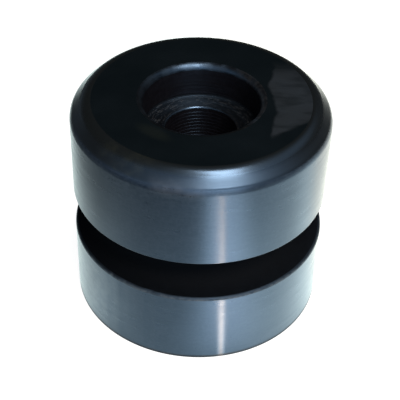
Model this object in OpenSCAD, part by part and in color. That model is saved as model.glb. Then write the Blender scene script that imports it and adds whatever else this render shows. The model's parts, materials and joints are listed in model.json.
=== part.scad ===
// Radiator insulator: a stepped rubber mount, turned in one piece.
// Two flanges share one core, and the groove between them takes the edge of a bracket.
// A bolt passes down the bore, and its washer sits in the counterbore.
// Millimetres. +Z runs up the bore, and the origin is the middle of the underside.

/* [Flanges] */
// Outside diameter of both flanges
flange_d = 63.5; // [56:0.5:90]
// Height of the lower flange
lower_h = 20.8; // [12:0.1:35]
// Height of the upper flange, with its bevel
upper_h = 24.9; // [18:0.1:40]
// Leg of the 45 degree bevel round the top face
bevel = 3.6; // [2:0.1:8]
// Radius that blends the bevel into the top face
bevel_top_r = 3; // [0.5:0.1:5]
// Radius that blends the bevel into the side
bevel_side_r = 1.5; // [0.3:0.1:4]
// Radius of the lower flange's two outer edges
lower_edge_r = 0.5; // [0.1:0.05:1.5]
// Radius of the upper flange's bottom edge
upper_edge_r = 0.3; // [0.1:0.05:1.5]

/* [Groove] */
// Width of the groove between the flanges
groove_w = 11.3; // [6:0.1:25]
// Diameter of the core at the bottom of the groove
core_d = 35; // [30:0.5:48]
// Radius in the groove's two inner corners
groove_root_r = 1; // [0.2:0.1:2.5]

/* [Bore] */
// Diameter of the bore that goes right through
bore_d = 17.5; // [10:0.5:24]
// Radius of the edge at each end of the bore
bore_edge_r = 0.5; // [0.1:0.05:1]
// Diameter of the counterbore in the top face
counterbore_d = 28.4; // [22:0.2:40]
// Depth of the counterbore, from the top face to its floor
counterbore_depth = 8.9; // [4:0.1:15]
// Radius of the counterbore's mouth
mouth_r = 1.5; // [0.3:0.1:3]
// Radius in the corner of the counterbore's floor
floor_r = 0.6; // [0.2:0.1:1.5]

/* [Hidden] */
$fn = 128;

flange_r = flange_d / 2;
core_r = core_d / 2;
bore_r = bore_d / 2;
counterbore_r = counterbore_d / 2;

groove_top = lower_h + groove_w;
total_h = groove_top + upper_h;
floor_z = total_h - counterbore_depth;

// How far a cut runs past the surface that it opens
past = 1;

// Directions in the half section, where x is the radius and y is the height
outward = [1, 0];
inward = [-1, 0];
up = [0, 1];
down = [0, -1];
up_the_bevel = [-1, 1] / sqrt(2);
down_the_bevel = [1, -1] / sqrt(2);

// What lies between a corner and the arc of radius r that touches both its edges.
// Vectors a and b are one unit long and run from the corner along those edges.
module corner_piece(corner, a, b, r) {
    half_angle = acos(a * b) / 2;
    reach = r / tan(half_angle);
    centre = (a + b) / norm(a + b) * r / sin(half_angle);
    translate(corner)
        difference() {
            polygon([[0, 0], a * reach, centre, b * reach]);
            translate(centre) circle(r);
        }
}

// Half section of the bored blank: its foot, its side and its bevelled top
module blank() {
    difference() {
        polygon([
            [bore_r, 0],
            [flange_r, 0],
            [flange_r, total_h - bevel],
            [flange_r - bevel, total_h],
            [bore_r, total_h],
        ]);
        corner_piece([bore_r, 0], outward, up, bore_edge_r);
        corner_piece([flange_r, 0], inward, up, lower_edge_r);
        corner_piece([flange_r, total_h - bevel], down, up_the_bevel, bevel_side_r);
        corner_piece([flange_r - bevel, total_h], inward, down_the_bevel, bevel_top_r);
    }
}

// Half section of the groove that is turned out between the flanges
module groove() {
    difference() {
        translate([core_r, lower_h]) square([flange_r - core_r + past, groove_w]);
        corner_piece([core_r, lower_h], outward, up, groove_root_r);
        corner_piece([core_r, groove_top], outward, down, groove_root_r);
    }
}

// Half section of the counterbore, which opens the bore out from its floor to the top
module counterbore() {
    difference() {
        translate([bore_r - past, floor_z])
            square([counterbore_r - bore_r + past, counterbore_depth + past]);
        corner_piece([counterbore_r, floor_z], inward, up, floor_r);
    }
}

module section() {
    difference() {
        blank();
        groove();
        corner_piece([flange_r, lower_h], inward, down, lower_edge_r);
        corner_piece([flange_r, groove_top], inward, up, upper_edge_r);
        counterbore();
        corner_piece([counterbore_r, total_h], outward, down, mouth_r);
        corner_piece([bore_r, floor_z], outward, down, bore_edge_r);
    }
}

module insulator_body() {
    color([0.07, 0.08, 0.09])
        rotate_extrude()
            section();
}

insulator_body();
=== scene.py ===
import json
import math

import bmesh
import bpy
from mathutils import Matrix, Vector


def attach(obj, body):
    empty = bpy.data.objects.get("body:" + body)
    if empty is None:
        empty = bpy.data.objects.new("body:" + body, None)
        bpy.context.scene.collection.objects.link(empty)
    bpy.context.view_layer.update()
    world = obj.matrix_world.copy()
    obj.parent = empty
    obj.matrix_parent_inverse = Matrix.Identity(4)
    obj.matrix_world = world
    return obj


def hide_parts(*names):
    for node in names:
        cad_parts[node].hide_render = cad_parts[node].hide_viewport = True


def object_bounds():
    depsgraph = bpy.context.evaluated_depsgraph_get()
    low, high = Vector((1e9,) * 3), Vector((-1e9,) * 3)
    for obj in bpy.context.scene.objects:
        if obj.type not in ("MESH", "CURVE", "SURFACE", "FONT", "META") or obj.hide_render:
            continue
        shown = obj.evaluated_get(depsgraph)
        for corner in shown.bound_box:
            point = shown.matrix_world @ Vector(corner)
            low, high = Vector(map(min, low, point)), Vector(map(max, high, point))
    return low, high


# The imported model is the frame: one solid, standing on its foot, with +Z up its bore.
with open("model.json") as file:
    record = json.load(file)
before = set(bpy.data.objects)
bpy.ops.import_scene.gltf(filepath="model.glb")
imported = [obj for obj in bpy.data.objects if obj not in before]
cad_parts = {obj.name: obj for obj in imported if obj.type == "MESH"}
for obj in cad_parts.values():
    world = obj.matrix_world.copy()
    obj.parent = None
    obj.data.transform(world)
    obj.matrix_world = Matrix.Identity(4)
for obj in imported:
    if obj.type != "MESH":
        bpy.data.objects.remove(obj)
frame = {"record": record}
cad_low, cad_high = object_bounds()
mounts = {mount["name"]: mount for mount in frame["record"]["mounts"]}

MM = 0.001
NEAR = 0.001 * MM
UP = Vector((0, 0, 1))
OUT = Vector((1, 0, 0))

# The half section, as the solid has it. The outside, the bores and the floor come from the frame.
FLANGE_R = cad_high.x
TOTAL_H = cad_high.z
BORE_R = mounts["through_bore"]["dims"]["r_mm"] * MM
COUNTERBORE_R = mounts["counterbore"]["dims"]["r_mm"] * MM
FLOOR_Z = mounts["washer_seat"]["pos_m"][2]
LOWER_H = 20.8 * MM
GROOVE_TOP = 32.1 * MM
CORE_R = 17.5 * MM
BEVEL = 3.6 * MM
LOWER_EDGE_R = 0.5 * MM
UPPER_EDGE_R = 0.3 * MM
GROOVE_ROOT_R = 1.0 * MM
MOUTH_R = 1.5 * MM
FLOOR_CORNER_R = 0.6 * MM
BORE_EDGE_R = 0.5 * MM

# Edges that wear has rounded a little more than the solid has them: the bevel's top and its foot, and the
# lower flange's upper edge
WORN_TOP_R = 3.8 * MM
WORN_BEVEL_R = 2.7 * MM
WORN_LEDGE_R = 0.7 * MM

# How far up the side the foot is rubbed dull, with painted shade along its bottom as a contact shadow
FOOT_BAND_H = 1.1 * MM

# Where the bevel's finish meets the side's, as a height, and the top's, as a radius
BEVEL_FINISH_Z = TOTAL_H - BEVEL + WORN_BEVEL_R / 7
TOP_FINISH_R = FLANGE_R - BEVEL - WORN_TOP_R * 0.4

# Facets round the axis, and across each rounded corner
TURN_STEPS = 192
CORNER_STEPS = 6
BEVEL_STEPS = 8

# Edges sharper than this stay sharp
SMOOTH_ANGLE = math.radians(35)

# Tool marks that the eye can count: how far apart they are, and how deep
BORE_MARK_PITCH = 1.0 * MM
BORE_MARK_DEPTH = 0.045 * MM
BORE_MARK_LEAN = 0.45 * MM
WALL_MARK_PITCH = 0.75 * MM
WALL_MARK_DEPTH = 0.025 * MM
FLOOR_MARK_PITCH = 1.6 * MM
FLOOR_MARK_DEPTH = 0.06 * MM

# Small nicks in the lower flange's upper edge: angle round the axis in degrees, and depth
EDGE_NICKS = [
    (-131, 0.12 * MM),
    (-124, 0.22 * MM),
    (-120, 0.10 * MM),
    (-111, 0.20 * MM),
    (-105, 0.14 * MM),
    (38, 0.12 * MM),
    (164, 0.18 * MM),
]

# The dull film on the top face: its wavy inner edge, its slanted front edge and its faded back edge
FILM_INNER_X = 17.1 * MM
FILM_WAVE = 0.85 * MM
FILM_WAVE_LENGTH = 18.5 * MM
FILM_WAVE_CREST_Y = -4.0 * MM
FILM_SLANT = 0.82
FILM_FRONT = -29.4 * MM
FILM_BACK_Y = 13.5 * MM
FILM_SOFT = 0.5 * MM
FILM_FADE = 4.5 * MM

# A faint smear by the mouth: its middle, its turn, and half its length and width
SMEAR_AT = (-10.8 * MM, -14.6 * MM, 0)
SMEAR_TURN = math.radians(-36)
SMEAR_SIZE = (6.5 * MM, 2.6 * MM, 1)

# Rubbed patches on the bevel, along its foot, and on the lower flange's side: where each is, how far it
# reaches, and its colour
PATCH_AT = (-17 * MM, -23.6 * MM, 55.6 * MM)
PATCH_REACH = 9 * MM
PATCH_COLOUR = (0.0090, 0.0098, 0.0076)
SMUDGE_AT = (-4.5 * MM, -31.4 * MM, 53.4 * MM)
SMUDGE_REACH = 9 * MM
SMUDGE_HALF_H = 3 * MM
SMUDGE_COLOUR = (0.0280, 0.0310, 0.0370)
RUB_AT = (-27.5 * MM, -15.5 * MM, 9 * MM)
RUB_REACH = 18 * MM
RUB_COLOUR = (0.034, 0.038, 0.039)

# The span that most of a noise's values fall in
NOISE_SPAN = (0.3, 0.7)

# The finishes: their sheen, then the two colours that each runs between, its roughness, the depth of its
# relief, and what lies on it
COOL_SHEEN = (0.40, 0.64, 1.0, 1.0)
SIDE_COLOURS = ((0.0034, 0.0051, 0.0089), (0.0127, 0.0162, 0.0225))
SIDE_ROUGHNESS = (0.271, 0.307)
SIDE_RELIEF = 0.007 * MM
SPECK_ROUGHNESS = 0.02
BEVEL_COLOURS = ((0.0026, 0.0025, 0.0020), (0.0044, 0.0046, 0.0043))
BEVEL_ROUGHNESS = (0.31, 0.35)
BEVEL_RELIEF = 0.004 * MM
BEVEL_EDGE_COLOUR = (0.0046, 0.0054, 0.0055)
BEVEL_EDGE_SHARE = 0.7
BEVEL_EDGE_POLISH = 0.72
TOP_COLOURS = ((0.0013, 0.0024, 0.0031), (0.0021, 0.0030, 0.0032))
TOP_ROUGHNESS = (0.2, 0.28)
TOP_RELIEF = 0.001 * MM
SMEAR_COLOUR = (0.0038, 0.0050, 0.0044)
FILM_COLOUR = (0.0092, 0.0102, 0.0112)
FILM_ROUGHNESS = 0.13
LIP_COLOURS = ((0.0008, 0.0010, 0.0012), (0.0034, 0.0035, 0.0036))
LIP_ROUGHNESS = (0.28, 0.48)
LIP_RELIEF = 0.03 * MM
LIP_SMOOTH = 0.12
LIP_SMOOTH_SPAN_Y = (-12 * MM, -6 * MM)
# The lips are lighter on the +X side: rubbed wear, and painted light
LIP_RUBBED_AND_LIT_SPAN_X = (5 * MM, 12 * MM)
LIP_RIM_POLISH = 0.75
LIP_RUBBED_AND_LIT_COLOUR = (0.0070, 0.0068, 0.0070)
LEDGE_COLOURS = ((0.0180, 0.0230, 0.0290), (0.0420, 0.0490, 0.0560))
LEDGE_ROUGHNESS = (0.45, 0.6)
LEDGE_RELIEF = 0.02 * MM
# Painted shade on the ledge's top and a painted contact shadow along the foot: their colour and share
PAINTED_SHADE_COLOUR = (0.0030, 0.0034, 0.0040)
PAINTED_SHADE_SHARE = 0.9
GROOVE_COLOURS = ((0.0012, 0.0013, 0.0016), (0.0026, 0.0027, 0.0034))
GROOVE_ROUGHNESS = (0.55, 0.7)
GROOVE_RELIEF = 0.02 * MM
# Painted light deep in the groove, where the upper flange shades it
GROOVE_PAINTED_LIGHT_COLOUR = (0.015, 0.016, 0.019)
BORED_COLOURS = ((0.0020, 0.0014, 0.0018), (0.0056, 0.0048, 0.0060))
BORED_ROUGHNESS = (0.32, 0.45)
BORED_RELIEF = 0.05 * MM
SEAT_COLOURS = ((0.0011, 0.0012, 0.0014), (0.0150, 0.0156, 0.0172))
SEAT_ROUGHNESS = (0.4, 0.55)
SEAT_RELIEF = 0.06 * MM

# How far up the counterbore's wall its coarser lines go
COARSE_H = 4.5 * MM

# The scuffs on the counterbore's floor: where they are thickest, and their shares on the left and right.
# The right share is smaller as painted shade, where that side of the floor lies in shadow.
SCUFF_R = 12.2 * MM
SCUFF_SOFT = 2.5 * MM
SCUFF_SPAN_X = (-8 * MM, 7 * MM)
SCUFF_SHARES_SHADED_RIGHT = (1.3, 0.45)

# What the sides mirror: a bright sheet that the part stands on, brighter behind it. The sheet ends in front
# and, on a slant, on the left. It is shaded in front on the left, and carries a narrow glint, with a halo
# round it, that shows as an upright streak. Round the part's foot it carries a painted contact shadow,
# darkest in a thin line right at the foot.
SHEET_GLOW = 3.0
SHEET_BACK_GLOW = 4.7
SHEET_LEFT_DIM = 0.45
SHEET_FRONT_Y = -80 * MM
SHEET_LEFT_X = -63 * MM
SHEET_LEFT_SLANT = 0.4
SHEET_SOFT = 24 * MM
SHEET_RIGHT_X = 63 * MM
SHEET_RIGHT_NEAR = 1.1
SHEET_RIGHT_FAR = 0.62
SHEET_BACK_SPAN_Y = (-28 * MM, -2 * MM)
SHEET_DIM_SPAN_Y = (-28 * MM, -8 * MM)
SHEET_DIM_SPAN_X = (-40 * MM, -20 * MM)
SHEET_REACH = 150 * MM
BEYOND_SHEET = 0.07
CONTACT_SHADE = 0.15
CONTACT_REACH = 14 * MM
FOOT_SHADOW_LINE = 0.8 * MM
SHADE = 0.6
SHADE_AT = (-17 * MM, -52 * MM, 0)
SHADE_R = 58 * MM
GLINT = 32
GLINT_START = (6.63 * MM, -30.9 * MM, 0)
GLINT_TURN = math.radians(24.4 - 90)
GLINT_STRAIGHT = 20 * MM
GLINT_BEND = 3.2
GLINT_SPREAD = 0.03
GLINT_SPREAD_FROM = 45 * MM
GLINT_RISE = 18 * MM
GLINT_FADE_END = 44 * MM
GLINT_FADE = 0.32
GLINT_REACH = 180 * MM
HALO = 3.0
FAR_HALO = 5.4
HALO_HALF_W = 26 * MM
HALO_LEFT_SPREAD = 0.04
HALO_RIGHT_SPREAD = 0.28
HALO_TURNOVER = 10 * MM
HALO_TINT = (0.87, 0.91, 0.89)
SHEET_TINT = (0.86, 1.0, 0.95)
SHEET_BACK_TINT = (0.97, 0.98, 0.86)
BACK_TINT_SLANT = 0.35
BACK_TINT_SPAN_Y = (-25 * MM, -3 * MM)
BACK_TINT_SPAN_X = (-10 * MM, 20 * MM)
GLINT_TINT = (1.0, 0.59, 0.34)
GLINT_FOOT_WARMTH = 0.7

# The stage: how far the floor and the sheet reach, and the floor as the camera sees it
FLOOR_SIZE = 8
SHEET_SIZE = 4
FLOOR_COLOUR = (0.22, 0.22, 0.22, 1)
FLOOR_GLOW = 0.94

# The soft panels: the place, size and power of each, and the turn and the colour of both
PANELS = {
    "overhead_panel": ((0.158, -0.13, 0.82), (0.20, 0.40), 5.6),
    "front_panel": ((0.27, -0.54, 0.82), (0.40, 0.40), 9.0),
}
PANEL_TURN = math.radians(14.5)
PANEL_COLOUR = (1.0, 0.91, 0.81)

# The room: how bright it is in front and behind, the light in front and the way to it, the light on the
# right and on the left, and what the camera sees of it
ROOM_COLOUR = (0.75, 0.9, 1.0, 1)
ROOM_FRONT = 0.7
ROOM_BACK = 0.015
FRONT_LIGHT = 1.9
FRONT_LIGHT_WAY = (0.22, -0.93, 0.30)
HIGH_RIGHT_LIGHT = 0.42
LOW_RIGHT_LIGHT = 0.03
LOW_LEFT_LIGHT = 0.17
ROOM_SEEN = 0.9

# The camera: its lens, its tilt, and where the middle of the part's foot lies in its view
LENS_MM = 96.8
SENSOR_MM = 36
CAMERA_ELEVATION = math.radians(39.82)
CAMERA_ROLL = math.radians(1.75)
FOOT_LEFT = 0.91 * MM
FOOT_DOWN = 19.24 * MM
FOOT_AWAY = 293.7 * MM


def radius(at):
    return math.hypot(at.x, at.y)


def everywhere(at):
    return True


def pick(kind, test):
    """Selects the vertices, edges or faces whose middle passes the test, and nothing else."""
    bpy.ops.mesh.select_mode(type=kind)
    bpy.ops.mesh.select_all(action="DESELECT")
    shape = bmesh.from_edit_mesh(bpy.context.edit_object.data)
    if kind == "VERT":
        found = [vert for vert in shape.verts if test(vert.co)]
    elif kind == "EDGE":
        found = [edge for edge in shape.edges if test((edge.verts[0].co + edge.verts[1].co) / 2)]
    else:
        found = [face for face in shape.faces if test(face.calc_center_median())]
    for part in found:
        part.select_set(True)
    shape.select_flush_mode()
    bmesh.update_edit_mesh(bpy.context.edit_object.data)


def cut(test, place, normal):
    """Cuts the faces whose middle passes the test, along a plane."""
    pick("FACE", test)
    bpy.ops.mesh.bisect(plane_co=place, plane_no=normal)


def break_corner(r, z, reach, steps):
    """Takes a corner of the section back along both its edges, to an arc or, with one step, a bevel."""
    corner = Vector((r, 0, z))
    pick("VERT", lambda at: (at - corner).length < NEAR)
    bpy.ops.mesh.bevel(offset=reach, segments=steps, profile=0.5, affect="VERTICES")


def score_edge(test, length, pitch, move):
    """Divides a straight edge of the section and moves each second point, as a tool's feed does."""
    marks = round(length / pitch)
    pick("EDGE", test)
    bpy.ops.mesh.subdivide(number_cuts=2 * marks - 1)
    shape = bmesh.from_edit_mesh(bpy.context.edit_object.data)
    along = [vert.co.copy() for vert in shape.verts if vert.select]
    along.sort(key=lambda at: (at.x, at.z))
    scored = along[1::2]
    pick("VERT", lambda at: any((at - mark).length < NEAR for mark in scored))
    bpy.ops.transform.translate(value=move)


def half_section():
    """A standing plate, cut and rounded to the outline of the half section."""
    bpy.ops.object.select_all(action="DESELECT")
    bpy.ops.mesh.primitive_plane_add(
        size=1, location=((BORE_R + FLANGE_R) / 2, 0, TOTAL_H / 2), rotation=(math.pi / 2, 0, 0)
    )
    plate = bpy.context.object
    bpy.ops.transform.resize(value=(FLANGE_R - BORE_R, 1, TOTAL_H))
    bpy.ops.object.transform_apply(location=True, rotation=True, scale=True)
    bpy.ops.object.mode_set(mode="EDIT")

    cut(everywhere, (0, 0, FOOT_BAND_H), UP)
    cut(everywhere, (0, 0, LOWER_H), UP)
    cut(everywhere, (0, 0, GROOVE_TOP), UP)
    cut(lambda at: LOWER_H < at.z < GROOVE_TOP, (CORE_R, 0, 0), OUT)
    cut(lambda at: at.z > GROOVE_TOP, (COUNTERBORE_R, 0, 0), OUT)
    cut(lambda at: at.z > GROOVE_TOP and at.x < COUNTERBORE_R, (0, 0, FLOOR_Z), UP)
    pick("FACE", lambda at: at.x > CORE_R and LOWER_H < at.z < GROOVE_TOP)
    bpy.ops.mesh.delete(type="FACE")
    pick("FACE", lambda at: at.x < COUNTERBORE_R and at.z > FLOOR_Z)
    bpy.ops.mesh.delete(type="FACE")
    pick("FACE", everywhere)
    bpy.ops.mesh.dissolve_faces()
    pick("VERT", lambda at: at.x < BORE_R + NEAR and NEAR < at.z < FLOOR_Z - NEAR)
    bpy.ops.mesh.dissolve_verts()

    blunt = math.tan(math.radians(22.5))
    break_corner(FLANGE_R, TOTAL_H, BEVEL, 1)
    break_corner(FLANGE_R - BEVEL, TOTAL_H, WORN_TOP_R * blunt, BEVEL_STEPS)
    break_corner(FLANGE_R, TOTAL_H - BEVEL, WORN_BEVEL_R * blunt, BEVEL_STEPS)
    break_corner(FLANGE_R, GROOVE_TOP, UPPER_EDGE_R, CORNER_STEPS)
    break_corner(FLANGE_R, LOWER_H, WORN_LEDGE_R, CORNER_STEPS)
    break_corner(FLANGE_R, 0, LOWER_EDGE_R, CORNER_STEPS)
    break_corner(CORE_R, GROOVE_TOP, GROOVE_ROOT_R, CORNER_STEPS)
    break_corner(CORE_R, LOWER_H, GROOVE_ROOT_R, CORNER_STEPS)
    break_corner(COUNTERBORE_R, TOTAL_H, MOUTH_R, BEVEL_STEPS)
    break_corner(COUNTERBORE_R, FLOOR_Z, FLOOR_CORNER_R, CORNER_STEPS)
    break_corner(BORE_R, FLOOR_Z, BORE_EDGE_R, CORNER_STEPS)
    break_corner(BORE_R, 0, BORE_EDGE_R, CORNER_STEPS)

    bpy.ops.mesh.select_all(action="SELECT")
    bpy.ops.mesh.delete(type="ONLY_FACE")
    return plate


def turned_insulator():
    """The whole part: the half section, scored with tool marks and spun round the axis."""
    body = half_section()
    body.name = body.data.name = "turned_insulator"

    score_edge(
        lambda at: abs(at.x - BORE_R) < NEAR and BORE_EDGE_R < at.z < FLOOR_Z - BORE_EDGE_R,
        FLOOR_Z - 2 * BORE_EDGE_R,
        BORE_MARK_PITCH,
        (BORE_MARK_DEPTH, 0, -BORE_MARK_LEAN),
    )
    score_edge(
        lambda at: abs(at.x - COUNTERBORE_R) < NEAR and FLOOR_Z < at.z < TOTAL_H,
        TOTAL_H - MOUTH_R - FLOOR_Z - FLOOR_CORNER_R,
        WALL_MARK_PITCH,
        (WALL_MARK_DEPTH, 0, 0),
    )
    score_edge(
        lambda at: abs(at.z - FLOOR_Z) < NEAR and BORE_R < at.x < COUNTERBORE_R,
        COUNTERBORE_R - FLOOR_CORNER_R - BORE_R - BORE_EDGE_R,
        FLOOR_MARK_PITCH,
        (0, 0, -FLOOR_MARK_DEPTH),
    )

    bpy.ops.mesh.select_all(action="SELECT")
    bpy.ops.mesh.spin(steps=TURN_STEPS, angle=2 * math.pi, center=(0, 0, 0), axis=(0, 0, 1))
    bpy.ops.mesh.select_all(action="SELECT")
    bpy.ops.mesh.remove_doubles(threshold=NEAR)
    bpy.ops.mesh.normals_make_consistent(inside=False)

    half_facet = math.pi / TURN_STEPS
    for angle, depth in EDGE_NICKS:
        line = math.radians(angle)
        way = Vector((math.cos(line), math.sin(line), 0))
        pick(
            "VERT",
            lambda at: radius(at) > FLANGE_R - WORN_LEDGE_R - NEAR
            and LOWER_H - WORN_LEDGE_R - NEAR < at.z < LOWER_H - NEAR
            and way.angle((at.x, at.y, 0)) <= half_facet,
        )
        bpy.ops.transform.translate(value=-way * depth + Vector((0, 0, -depth / 2)))

    bpy.ops.object.mode_set(mode="OBJECT")
    bpy.ops.object.shade_smooth_by_angle(angle=SMOOTH_ANGLE)
    bpy.ops.object.modifier_add(type="WEIGHTED_NORMAL")
    body.modifiers[-1].keep_sharp = True
    bpy.ops.object.modifier_apply(modifier=body.modifiers[-1].name)
    return body


def finish_faces(body, material, test):
    """Gives a finish to the faces whose middle passes the test."""
    bpy.ops.object.material_slot_add()
    body.active_material = material
    bpy.ops.object.mode_set(mode="EDIT")
    pick("FACE", test)
    bpy.ops.object.material_slot_assign()
    bpy.ops.object.mode_set(mode="OBJECT")


def node(tree, kind, inputs=None, **settings):
    """Adds a node. An input that is another node's output is linked, and any other is set."""
    made = tree.nodes.new(kind)
    for name, value in settings.items():
        setattr(made, name, value)
    for name, value in (inputs or {}).items():
        if isinstance(value, bpy.types.NodeSocket):
            tree.links.new(value, made.inputs[name])
        else:
            made.inputs[name].default_value = value
    return made


def sum_of(tree, kind, first, second):
    """One step of arithmetic, such as ADD or MULTIPLY."""
    return node(tree, "ShaderNodeMath", {0: first, 1: second}, operation=kind).outputs["Value"]


def spread(tree, value, low, high, to_low, to_high, smooth=True):
    """Maps one span of values onto another, and holds the ends."""
    mapped = node(
        tree,
        "ShaderNodeMapRange",
        {"Value": value, "From Min": low, "From Max": high, "To Min": to_low, "To Max": to_high},
        interpolation_type="SMOOTHSTEP" if smooth else "LINEAR",
    )
    return mapped.outputs["Result"]


def blend(tree, share, first, second):
    """A colour between two others, each a colour or another node's output."""
    mixed = node(tree, "ShaderNodeMix", data_type="RGBA")
    tree.links.new(share, mixed.inputs["Factor"])
    for socket, colour in (("A", first), ("B", second)):
        if isinstance(colour, bpy.types.NodeSocket):
            tree.links.new(colour, mixed.inputs[socket])
        else:
            mixed.inputs[socket].default_value = (*colour, 1)
    return mixed.outputs["Result"]


def place_of(tree):
    """The point's x, y and z on the part, and its distance from the axis."""
    place = node(tree, "ShaderNodeTexCoord").outputs["Object"]
    split = node(tree, "ShaderNodeSeparateXYZ", {"Vector": place})
    x, y, z = (split.outputs[name] for name in "XYZ")
    flat = node(tree, "ShaderNodeCombineXYZ", {"X": x, "Y": y})
    out = node(tree, "ShaderNodeVectorMath", {0: flat.outputs["Vector"]}, operation="LENGTH")
    return x, y, z, out.outputs["Value"]


def turning_lines(tree, around, across, detail=2.0):
    """Noise drawn out round the axis, as a tool leaves it, in marks per metre round the axis and across."""
    x, y, z, out = place_of(tree)
    run = sum_of(tree, "SUBTRACT", z, out)
    drawn = node(
        tree,
        "ShaderNodeCombineXYZ",
        {
            "X": sum_of(tree, "MULTIPLY", x, around),
            "Y": sum_of(tree, "MULTIPLY", y, around),
            "Z": sum_of(tree, "MULTIPLY", run, across),
        },
    )
    noise = node(
        tree,
        "ShaderNodeTexNoise",
        {"Vector": drawn.outputs["Vector"], "Scale": 1.0, "Detail": detail, "Roughness": 0.6},
    )
    return noise.outputs["Fac"]


def cloud(tree, scale, detail=2.0):
    """Even noise, in marks per metre."""
    place = node(tree, "ShaderNodeTexCoord").outputs["Object"]
    noise = node(tree, "ShaderNodeTexNoise", {"Vector": place, "Scale": scale, "Detail": detail})
    return noise.outputs["Fac"]


def patch(tree, at, reach, scale, thin=0.1):
    """A mark with a soft edge, from thin to 1 in its middle as its clouds go, and 0 outside its reach."""
    place = node(tree, "ShaderNodeTexCoord").outputs["Object"]
    away = node(tree, "ShaderNodeVectorMath", {0: place, 1: at}, operation="DISTANCE").outputs["Value"]
    marks = spread(tree, cloud(tree, scale, 4.0), 0.38, 0.62, thin, 1)
    return sum_of(tree, "MULTIPLY", spread(tree, away, 0.3 * reach, reach, 1, 0), marks)


def smudge(tree, colour):
    """Lays a smudge over a colour, along the bevel's foot."""
    _, _, z, _ = place_of(tree)
    off = sum_of(tree, "ABSOLUTE", sum_of(tree, "SUBTRACT", z, TOTAL_H - BEVEL), 0)
    level = spread(tree, off, 0, SMUDGE_HALF_H, 1, 0)
    laid = sum_of(tree, "MULTIPLY", level, patch(tree, SMUDGE_AT, SMUDGE_REACH, 350, 0.4))
    return blend(tree, laid, colour, SMUDGE_COLOUR)


def rubber(name, constants):
    """A rubber finish: a material with one shader, and the sockets that are the same all over it."""
    material = bpy.data.materials.new(name)
    material.use_nodes = True
    shader = material.node_tree.nodes["Principled BSDF"]
    for socket, value in {"Specular IOR Level": 1.0, "Specular Tint": COOL_SHEEN, **constants}.items():
        shader.inputs[socket].default_value = value
    return material, material.node_tree, shader


def dress(tree, shader, colour, roughness, height, depth):
    """Joins a finish's colour, roughness and relief to its shader. The relief's depth is in metres."""
    tree.links.new(colour, shader.inputs["Base Color"])
    tree.links.new(roughness, shader.inputs["Roughness"])
    bump = node(tree, "ShaderNodeBump", {"Height": height, "Strength": 1.0, "Distance": depth})
    tree.links.new(bump.outputs["Normal"], shader.inputs["Normal"])


def comb(tree, shader):
    """Turns the shader's grain so that gloss is drawn out across the tool marks."""
    shader.inputs["Anisotropic Rotation"].default_value = 0.25
    tangent = node(tree, "ShaderNodeTangent", direction_type="RADIAL", axis="Z")
    tree.links.new(tangent.outputs["Tangent"], shader.inputs["Tangent"])


def side_rubber():
    """The turned sides: satin, with fine lines round the axis that draw a light out into a streak."""
    material, tree, shader = rubber("turned_side_rubber", {"Anisotropic": 0.95})
    comb(tree, shader)
    fine = turning_lines(tree, 160, 5200)
    scratches = spread(tree, turning_lines(tree, 300, 2600, 3.0), 0.42, 0.72, 0, 1)
    grain = cloud(tree, 1300, 3.0)
    specks = spread(tree, grain, 0.35, 0.75, 0, 1)
    brushed = spread(tree, turning_lines(tree, 70, 1000), *NOISE_SPAN, *SIDE_ROUGHNESS)
    marked = blend(tree, sum_of(tree, "MAXIMUM", scratches, specks), *SIDE_COLOURS)
    smudged = smudge(tree, marked)
    dress(
        tree,
        shader,
        blend(tree, patch(tree, RUB_AT, RUB_REACH, 360), smudged, RUB_COLOUR),
        sum_of(tree, "ADD", brushed, sum_of(tree, "MULTIPLY", specks, SPECK_ROUGHNESS)),
        sum_of(tree, "ADD", fine, grain),
        SIDE_RELIEF,
    )
    return material


def bevel_rubber():
    """The bevel round the top: rubbed smooth, and most of all where it meets the top face."""
    material, tree, shader = rubber("bevel_rubber", {})
    _, _, z, _ = place_of(tree)
    fine = turning_lines(tree, 60, 3600)
    broad = turning_lines(tree, 25, 500)
    rubbed = spread(tree, z, TOTAL_H - BEVEL / 2, TOTAL_H - BEVEL / 8, 1, BEVEL_EDGE_POLISH)
    edge = spread(tree, z, TOTAL_H - BEVEL / 2, TOTAL_H - BEVEL / 6, 0, BEVEL_EDGE_SHARE)
    bare = blend(tree, broad, *BEVEL_COLOURS)
    edged = blend(tree, edge, bare, BEVEL_EDGE_COLOUR)
    smudged = smudge(tree, edged)
    dress(
        tree,
        shader,
        blend(tree, patch(tree, PATCH_AT, PATCH_REACH, 300), smudged, PATCH_COLOUR),
        sum_of(tree, "MULTIPLY", spread(tree, broad, *NOISE_SPAN, *BEVEL_ROUGHNESS), rubbed),
        fine,
        BEVEL_RELIEF,
    )
    return material


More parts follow.
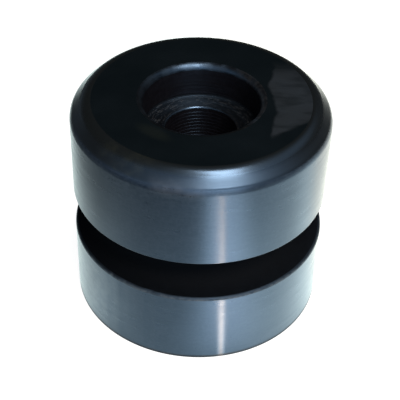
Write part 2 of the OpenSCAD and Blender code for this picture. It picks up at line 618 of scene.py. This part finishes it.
def film(tree):
    """Where the dull film lies on the top face: 1 on it, and 0 off it. It is wavy, wiped thin in places."""
    x, y, _, _ = place_of(tree)
    from_crest = sum_of(tree, "SUBTRACT", y, FILM_WAVE_CREST_Y)
    phase = sum_of(tree, "MULTIPLY", from_crest, 2 * math.pi / FILM_WAVE_LENGTH)
    wave = sum_of(tree, "MULTIPLY", sum_of(tree, "COSINE", phase, 0), -FILM_WAVE)
    waver = spread(tree, cloud(tree, 260, 1.0), *NOISE_SPAN, -0.4 * MM, 0.4 * MM, smooth=False)
    across = sum_of(tree, "ADD", sum_of(tree, "ADD", x, wave), waver)
    inner = spread(tree, across, FILM_INNER_X - FILM_SOFT, FILM_INNER_X + FILM_SOFT, 0, 1)
    slant = sum_of(tree, "SUBTRACT", y, sum_of(tree, "MULTIPLY", across, FILM_SLANT))
    front = spread(tree, slant, FILM_FRONT - 2 * FILM_SOFT, FILM_FRONT + 2 * FILM_SOFT, 0, 1)
    back = spread(tree, y, FILM_BACK_Y - FILM_FADE, FILM_BACK_Y + FILM_FADE, 1, 0)
    wipes = node(
        tree,
        "ShaderNodeMapping",
        {
            "Vector": node(tree, "ShaderNodeTexCoord").outputs["Object"],
            "Rotation": (0, 0, math.radians(8)),
            "Scale": (110, 330, 1),
        },
    )
    streaks = node(
        tree, "ShaderNodeTexNoise", {"Vector": wipes.outputs["Vector"], "Scale": 1.0, "Detail": 2.0}
    )
    laid = spread(tree, streaks.outputs["Fac"], 0.34, 0.6, 0.6, 1.05)
    for share in (inner, front, back):
        laid = sum_of(tree, "MULTIPLY", laid, share)
    return laid


def smear(tree):
    """A faint smear on the top face, by the mouth: 1 in its middle, and 0 outside it."""
    place = node(tree, "ShaderNodeTexCoord").outputs["Object"]
    turned = node(
        tree,
        "ShaderNodeMapping",
        {"Vector": place, "Location": SMEAR_AT, "Rotation": (0, 0, SMEAR_TURN), "Scale": SMEAR_SIZE},
        vector_type="TEXTURE",
    )
    out = node(tree, "ShaderNodeVectorMath", {0: turned.outputs["Vector"]}, operation="LENGTH")
    return spread(tree, out.outputs["Value"], 0.3, 1.0, 1, 0)


def top_rubber():
    """The faced top: smooth and black, with fine rings, a smear and a dull film on its +X side."""
    material, tree, shader = rubber("faced_top_rubber", {})
    dull = film(tree)
    rings = turning_lines(tree, 40, 2600)
    clouds = cloud(tree, 90)
    bare = blend(tree, clouds, *TOP_COLOURS)
    smeared = blend(tree, smear(tree), bare, SMEAR_COLOUR)
    dress(
        tree,
        shader,
        blend(tree, dull, smeared, FILM_COLOUR),
        sum_of(
            tree,
            "ADD",
            spread(tree, clouds, *NOISE_SPAN, *TOP_ROUGHNESS, smooth=False),
            sum_of(tree, "MULTIPLY", dull, FILM_ROUGHNESS),
        ),
        rings,
        TOP_RELIEF,
    )
    return material


def lip_rubber():
    """The rounded edges of the two bores: worn and streaky, and smooth in front."""
    material, tree, shader = rubber("lip_rubber", {"Anisotropic": 0.6})
    comb(tree, shader)
    x, y, _, out = place_of(tree)
    wear = cloud(tree, 420, 3.0)
    lines = turning_lines(tree, 120, 1500)
    bare = blend(tree, wear, *LIP_COLOURS)
    # Lighter on the +X side: rubbed wear, and painted light standing in for light falling from the left
    rubbed = sum_of(
        tree,
        "MULTIPLY",
        spread(tree, x, *LIP_RUBBED_AND_LIT_SPAN_X, 0, 1),
        spread(tree, cloud(tree, 900), 0.4, 0.6, 0.2, 1),
    )
    worn = sum_of(
        tree,
        "MULTIPLY",
        spread(tree, wear, *NOISE_SPAN, *LIP_ROUGHNESS),
        spread(tree, out, BORE_R, COUNTERBORE_R, LIP_RIM_POLISH, 1),
    )
    smooth = spread(tree, y, *LIP_SMOOTH_SPAN_Y, LIP_SMOOTH, 1)
    dress(
        tree,
        shader,
        blend(tree, rubbed, bare, LIP_RUBBED_AND_LIT_COLOUR),
        sum_of(tree, "MINIMUM", worn, smooth),
        lines,
        LIP_RELIEF,
    )
    return material


def ledge_rubber():
    """The lower flange's upper edge and foot: rubbed grey, duller than the side, with painted shade."""
    material, tree, shader = rubber("ledge_rubber", {"Specular IOR Level": 0.45})
    _, _, z, _ = place_of(tree)
    wear = cloud(tree, 800, 4.0)
    lines = turning_lines(tree, 120, 1500)
    grey = blend(tree, spread(tree, wear, 0.4, 0.6, 0, 1), *LEDGE_COLOURS)
    # Painted shade: darker at the edge's top, in the upper flange's shade, and at the foot as a contact
    # shadow
    painted_shade = sum_of(
        tree,
        "ADD",
        spread(tree, z, LOWER_H - 0.6 * WORN_LEDGE_R, LOWER_H, 0, PAINTED_SHADE_SHARE),
        spread(tree, z, LOWER_EDGE_R, FOOT_BAND_H, PAINTED_SHADE_SHARE, 0.1),
    )
    dress(
        tree,
        shader,
        blend(tree, painted_shade, grey, PAINTED_SHADE_COLOUR),
        spread(tree, wear, *NOISE_SPAN, *LEDGE_ROUGHNESS),
        lines,
        LEDGE_RELIEF,
    )
    return material


def groove_rubber():
    """The groove, the underside and the floor's corner: cut with a rough tool and left dull."""
    material, tree, shader = rubber("groove_rubber", {"Specular IOR Level": 0.1})
    rings = turning_lines(tree, 50, 1800)
    grain = cloud(tree, 900)
    _, _, _, out = place_of(tree)
    # Painted light: lightest at the core, under the upper flange's edge in the groove's shade, fading
    # outwards
    painted_light = spread(tree, out, CORE_R, FLANGE_R, 1, 0)
    painted_light = sum_of(tree, "MULTIPLY", painted_light, sum_of(tree, "GREATER_THAN", out, COUNTERBORE_R))
    bare = blend(tree, grain, *GROOVE_COLOURS)
    dress(
        tree,
        shader,
        blend(tree, painted_light, bare, GROOVE_PAINTED_LIGHT_COLOUR),
        spread(tree, grain, *NOISE_SPAN, *GROOVE_ROUGHNESS),
        rings,
        GROOVE_RELIEF,
    )
    return material


def bored_rubber():
    """The bore and the counterbore's wall, with the tool marks that the mesh has."""
    material, tree, shader = rubber("bored_rubber", {"Specular IOR Level": 0.25, "Anisotropic": 0.7})
    comb(tree, shader)
    _, _, z, _ = place_of(tree)
    lines = turning_lines(tree, 80, 2000)
    grain = cloud(tree, 700)
    coarse = spread(tree, z, FLOOR_Z + COARSE_H / 2, FLOOR_Z + COARSE_H, 1, 0.2)
    dress(
        tree,
        shader,
        blend(tree, grain, *BORED_COLOURS),
        spread(tree, lines, *NOISE_SPAN, *BORED_ROUGHNESS),
        sum_of(tree, "MULTIPLY", lines, coarse),
        BORED_RELIEF,
    )
    return material


def seat_rubber():
    """The counterbore's floor: faced in rings, with light scuffs and crumbs of rubber near its corner."""
    material, tree, shader = rubber("seat_rubber", {"Specular IOR Level": 0.42, "Anisotropic": 0.6})
    comb(tree, shader)
    x, _, _, out = place_of(tree)
    rings = turning_lines(tree, 60, 1500)
    scuffs = spread(tree, turning_lines(tree, 520, 2300, 3.0), 0.53, 0.63, 0, 1)
    crumbs = spread(tree, cloud(tree, 1500, 1.0), 0.64, 0.74, 0, 1)
    corner = spread(tree, out, SCUFF_R - SCUFF_SOFT, SCUFF_R, 0.4, 1)
    # Fewer scuffs on the right: painted shade, where the floor lies in shadow
    corner = sum_of(tree, "MULTIPLY", corner, spread(tree, x, *SCUFF_SPAN_X, *SCUFF_SHARES_SHADED_RIGHT))
    light = sum_of(tree, "MULTIPLY", sum_of(tree, "MAXIMUM", scuffs, crumbs), corner)
    dress(
        tree,
        shader,
        blend(tree, light, *SEAT_COLOURS),
        spread(tree, rings, *NOISE_SPAN, *SEAT_ROUGHNESS),
        sum_of(tree, "ADD", light, rings),
        SEAT_RELIEF,
    )
    return material


def on_bevel(at):
    return at.z > BEVEL_FINISH_Z and radius(at) > COUNTERBORE_R


def on_top(at):
    return at.z > TOTAL_H - MOUTH_R and radius(at) < TOP_FINISH_R


def on_ledge(at):
    return radius(at) > FLANGE_R - WORN_LEDGE_R and LOWER_H - WORN_LEDGE_R < at.z < LOWER_H


def on_foot(at):
    return LOWER_EDGE_R < at.z < FOOT_BAND_H and radius(at) > CORE_R


def in_groove(at):
    between = LOWER_H - NEAR < at.z < GROOVE_TOP + NEAR
    return between and CORE_R - NEAR < radius(at) < FLANGE_R - UPPER_EDGE_R


def on_underside(at):
    return at.z < LOWER_EDGE_R and radius(at) > BORE_R


def in_floor_corner(at):
    return FLOOR_Z < at.z < FLOOR_Z + FLOOR_CORNER_R and radius(at) > COUNTERBORE_R - FLOOR_CORNER_R


def in_bore(at):
    return radius(at) < COUNTERBORE_R + WALL_MARK_DEPTH and BORE_EDGE_R < at.z < TOTAL_H - MOUTH_R


def is_rough(at):
    return in_groove(at) or on_underside(at) or in_floor_corner(at)


def on_worn_edge(at):
    return on_ledge(at) or on_foot(at)


def on_lip(at):
    mouth = at.z > TOTAL_H - MOUTH_R and radius(at) < COUNTERBORE_R + MOUTH_R - NEAR
    rim = at.z > FLOOR_Z - BORE_EDGE_R and radius(at) < BORE_R + BORE_EDGE_R - NEAR
    return mouth or rim


def on_seat(at):
    return BORE_R + NEAR < radius(at) < COUNTERBORE_R - NEAR and abs(at.z - FLOOR_Z) < FLOOR_MARK_DEPTH


def stage_plane(name, size):
    bpy.ops.object.select_all(action="DESELECT")
    bpy.ops.mesh.primitive_plane_add(size=size)
    plane = bpy.context.object
    plane.name = name
    material = bpy.data.materials.new(name)
    material.use_nodes = True
    plane.data.materials.append(material)
    return plane, material.node_tree, material.node_tree.nodes["Principled BSDF"]


def pale_floor():
    """A plain pale floor, with a little glow of its own so that shadows stay soft."""
    floor, _, shader = stage_plane("pale_floor", FLOOR_SIZE)
    shader.inputs["Base Color"].default_value = FLOOR_COLOUR
    shader.inputs["Roughness"].default_value = 0.9
    shader.inputs["Specular IOR Level"].default_value = 0.0
    shader.inputs["Emission Color"].default_value = (1, 1, 1, 1)
    shader.inputs["Emission Strength"].default_value = FLOOR_GLOW
    floor.visible_glossy = False


def mirrored_sheet():
    """The bright sheet round the part, which only its gloss shows."""
    sheet, tree, shader = stage_plane("mirrored_sheet", SHEET_SIZE)
    sheet.visible_camera = sheet.visible_diffuse = sheet.visible_shadow = False
    shader.inputs["Base Color"].default_value = (0, 0, 0, 1)
    shader.inputs["Specular IOR Level"].default_value = 0.0

    x, y, _, out = place_of(tree)
    place = node(tree, "ShaderNodeTexCoord").outputs["Object"]
    front = spread(tree, y, SHEET_FRONT_Y - SHEET_SOFT, SHEET_FRONT_Y + SHEET_SOFT, 0, 1)
    back = spread(tree, y, *SHEET_BACK_SPAN_Y, SHEET_GLOW, SHEET_BACK_GLOW)
    behind = spread(tree, y, *SHEET_DIM_SPAN_Y, 0, SHEET_LEFT_DIM)
    dim = sum_of(tree, "MULTIPLY", behind, spread(tree, x, *SHEET_DIM_SPAN_X, 1, 0))
    skew = sum_of(tree, "ADD", x, sum_of(tree, "MULTIPLY", y, SHEET_LEFT_SLANT))
    left = spread(tree, skew, SHEET_LEFT_X - SHEET_SOFT, SHEET_LEFT_X + SHEET_SOFT, BEYOND_SHEET, 1)
    right_from, right_to = SHEET_RIGHT_X - 1.5 * SHEET_SOFT, SHEET_RIGHT_X + SHEET_SOFT
    right = spread(tree, x, right_from, right_to, SHEET_RIGHT_NEAR, SHEET_RIGHT_FAR)
    reach = spread(tree, out, SHEET_REACH, 2 * SHEET_REACH, 1, BEYOND_SHEET)
    to_shade = node(tree, "ShaderNodeVectorMath", {0: place, 1: SHADE_AT}, operation="DISTANCE")
    shade = spread(tree, to_shade.outputs["Value"], 0.2 * SHADE_R, SHADE_R, 1 - SHADE, 1)
    # Painted contact shadow on the sheet: a soft one round the foot, and a dark line right at it
    contact_shadow = spread(tree, out, FLANGE_R, FLANGE_R + CONTACT_REACH, 1 - CONTACT_SHADE, 1)
    foot_shadow = spread(tree, out, FLANGE_R - FOOT_SHADOW_LINE / 2, FLANGE_R + FOOT_SHADOW_LINE, 0.03, 1)
    glow = front
    for share in (back, left, right, reach, shade, contact_shadow, foot_shadow, sum_of(tree, "SUBTRACT", 1, dim)):
        glow = sum_of(tree, "MULTIPLY", glow, share)

    turned = node(
        tree,
        "ShaderNodeMapping",
        {"Vector": place, "Location": GLINT_START, "Rotation": (0, 0, GLINT_TURN)},
        vector_type="TEXTURE",
    )
    along = node(tree, "ShaderNodeSeparateXYZ", {"Vector": turned.outputs["Vector"]})
    bent = sum_of(tree, "MAXIMUM", sum_of(tree, "SUBTRACT", along.outputs["X"], GLINT_STRAIGHT), 0)
    bent = sum_of(tree, "MULTIPLY", sum_of(tree, "MULTIPLY", bent, bent), GLINT_BEND)
    aside = sum_of(tree, "ADD", along.outputs["Y"], bent)
    off = sum_of(tree, "ABSOLUTE", aside, 0)
    ahead = sum_of(tree, "MAXIMUM", along.outputs["X"], 0)
    length = sum_of(
        tree,
        "MULTIPLY",
        spread(tree, along.outputs["X"], -GLINT_RISE / 3, GLINT_RISE, 0, 1),
        spread(tree, along.outputs["X"], GLINT_FADE_END, GLINT_REACH, 1, 0),
    )
    width = sum_of(tree, "MULTIPLY", sum_of(tree, "ADD", ahead, GLINT_SPREAD_FROM), GLINT_SPREAD)
    core = spread(tree, sum_of(tree, "DIVIDE", off, width), 0, 1, 1, 0)
    flare = spread(tree, aside, -HALO_TURNOVER, HALO_TURNOVER, HALO_LEFT_SPREAD, HALO_RIGHT_SPREAD)
    halo_width = sum_of(tree, "ADD", sum_of(tree, "MULTIPLY", ahead, flare), HALO_HALF_W)
    halo = spread(tree, sum_of(tree, "DIVIDE", off, halo_width), 0, 1, 1, 0)
    halo = sum_of(tree, "MULTIPLY", halo, length)
    turn = sum_of(tree, "SUBTRACT", y, sum_of(tree, "MULTIPLY", x, BACK_TINT_SLANT))
    back_right = sum_of(
        tree,
        "MULTIPLY",
        spread(tree, turn, *BACK_TINT_SPAN_Y, 0, 1),
        spread(tree, x, *BACK_TINT_SPAN_X, 0, 1),
    )
    plain = blend(tree, back_right, SHEET_TINT, SHEET_BACK_TINT)
    warm = sum_of(tree, "MULTIPLY", core, spread(tree, ahead, 0, GLINT_RISE, GLINT_FOOT_WARMTH, 1))
    warm = sum_of(tree, "MULTIPLY", warm, spread(tree, along.outputs["X"], -GLINT_RISE / 3, 0, 0, 1))
    tint = blend(tree, warm, blend(tree, halo, plain, HALO_TINT), GLINT_TINT)
    tree.links.new(tint, shader.inputs["Emission Color"])
    fade = spread(tree, ahead, GLINT_RISE, GLINT_FADE_END, GLINT, GLINT * GLINT_FADE)
    core = sum_of(tree, "MULTIPLY", sum_of(tree, "MULTIPLY", core, length), fade)
    halo = sum_of(tree, "MULTIPLY", halo, spread(tree, ahead, GLINT_RISE, GLINT_FADE_END, HALO, FAR_HALO))
    tree.links.new(
        sum_of(tree, "ADD", sum_of(tree, "ADD", glow, halo), core), shader.inputs["Emission Strength"]
    )


def soft_panel(name, at, size, power):
    """A soft panel that shines straight down, turned a little round its middle."""
    bpy.ops.object.light_add(type="AREA", location=at, rotation=(0, 0, PANEL_TURN))
    panel = bpy.context.object
    panel.name = name
    panel.data.shape = "RECTANGLE"
    panel.data.size, panel.data.size_y = size
    panel.data.energy = power
    panel.data.color = PANEL_COLOUR
    panel.visible_camera = False


def dim_room():
    """The room: lit low in front, low on the left and high on the right, and pale to the camera."""
    world = bpy.data.worlds.new("dim_room")
    world.use_nodes = True
    tree = world.node_tree
    way = node(tree, "ShaderNodeTexCoord").outputs["Generated"]
    split = node(tree, "ShaderNodeSeparateXYZ", {"Vector": way})
    room = spread(tree, split.outputs["Y"], -0.95, 0.2, ROOM_FRONT, ROOM_BACK)
    towards = node(tree, "ShaderNodeVectorMath", {0: way, 1: FRONT_LIGHT_WAY}, operation="DOT_PRODUCT")
    front = spread(tree, towards.outputs["Value"], 0.86, 0.98, 0, FRONT_LIGHT)
    high = spread(tree, split.outputs["Z"], 0.45, 0.75, LOW_RIGHT_LIGHT, HIGH_RIGHT_LIGHT)
    right = sum_of(tree, "MULTIPLY", high, spread(tree, split.outputs["X"], 0.25, 0.55, 0, 1))
    low = spread(tree, split.outputs["Z"], 0, 0.4, LOW_LEFT_LIGHT, 0)
    left = sum_of(tree, "MULTIPLY", low, spread(tree, split.outputs["X"], -0.6, -0.15, 1, 0))
    for share in (front, right, left):
        room = sum_of(tree, "ADD", room, share)
    seen = node(tree, "ShaderNodeLightPath").outputs["Is Camera Ray"]
    level = node(tree, "ShaderNodeMix", {"Factor": seen, "A": room, "B": ROOM_SEEN})
    back = tree.nodes["Background"]
    back.inputs["Color"].default_value = ROOM_COLOUR
    tree.links.new(level.outputs["Result"], back.inputs["Strength"])
    bpy.context.scene.world = world


def camera():
    turn = Matrix.Rotation(math.pi / 2 - CAMERA_ELEVATION, 3, "X") @ Matrix.Rotation(CAMERA_ROLL, 3, "Z")
    bpy.ops.object.camera_add(
        location=turn @ Vector((FOOT_LEFT, FOOT_DOWN, FOOT_AWAY)), rotation=turn.to_euler()
    )
    view = bpy.context.object
    view.data.lens = LENS_MM
    view.data.sensor_width = SENSOR_MM
    view.data.clip_start = 0.01
    bpy.context.scene.camera = view


body = turned_insulator()
finish_faces(body, side_rubber(), everywhere)
finish_faces(body, bevel_rubber(), on_bevel)
finish_faces(body, top_rubber(), on_top)
finish_faces(body, bored_rubber(), in_bore)
finish_faces(body, groove_rubber(), is_rough)
finish_faces(body, ledge_rubber(), on_worn_edge)
finish_faces(body, seat_rubber(), on_seat)
finish_faces(body, lip_rubber(), on_lip)
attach(body, "root")
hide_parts("insulator_body")

pale_floor()
mirrored_sheet()
for name, (at, size, power) in PANELS.items():
    soft_panel(name, at, size, power)
dim_room()
camera()
bpy.context.scene.view_settings.view_transform = "Standard"
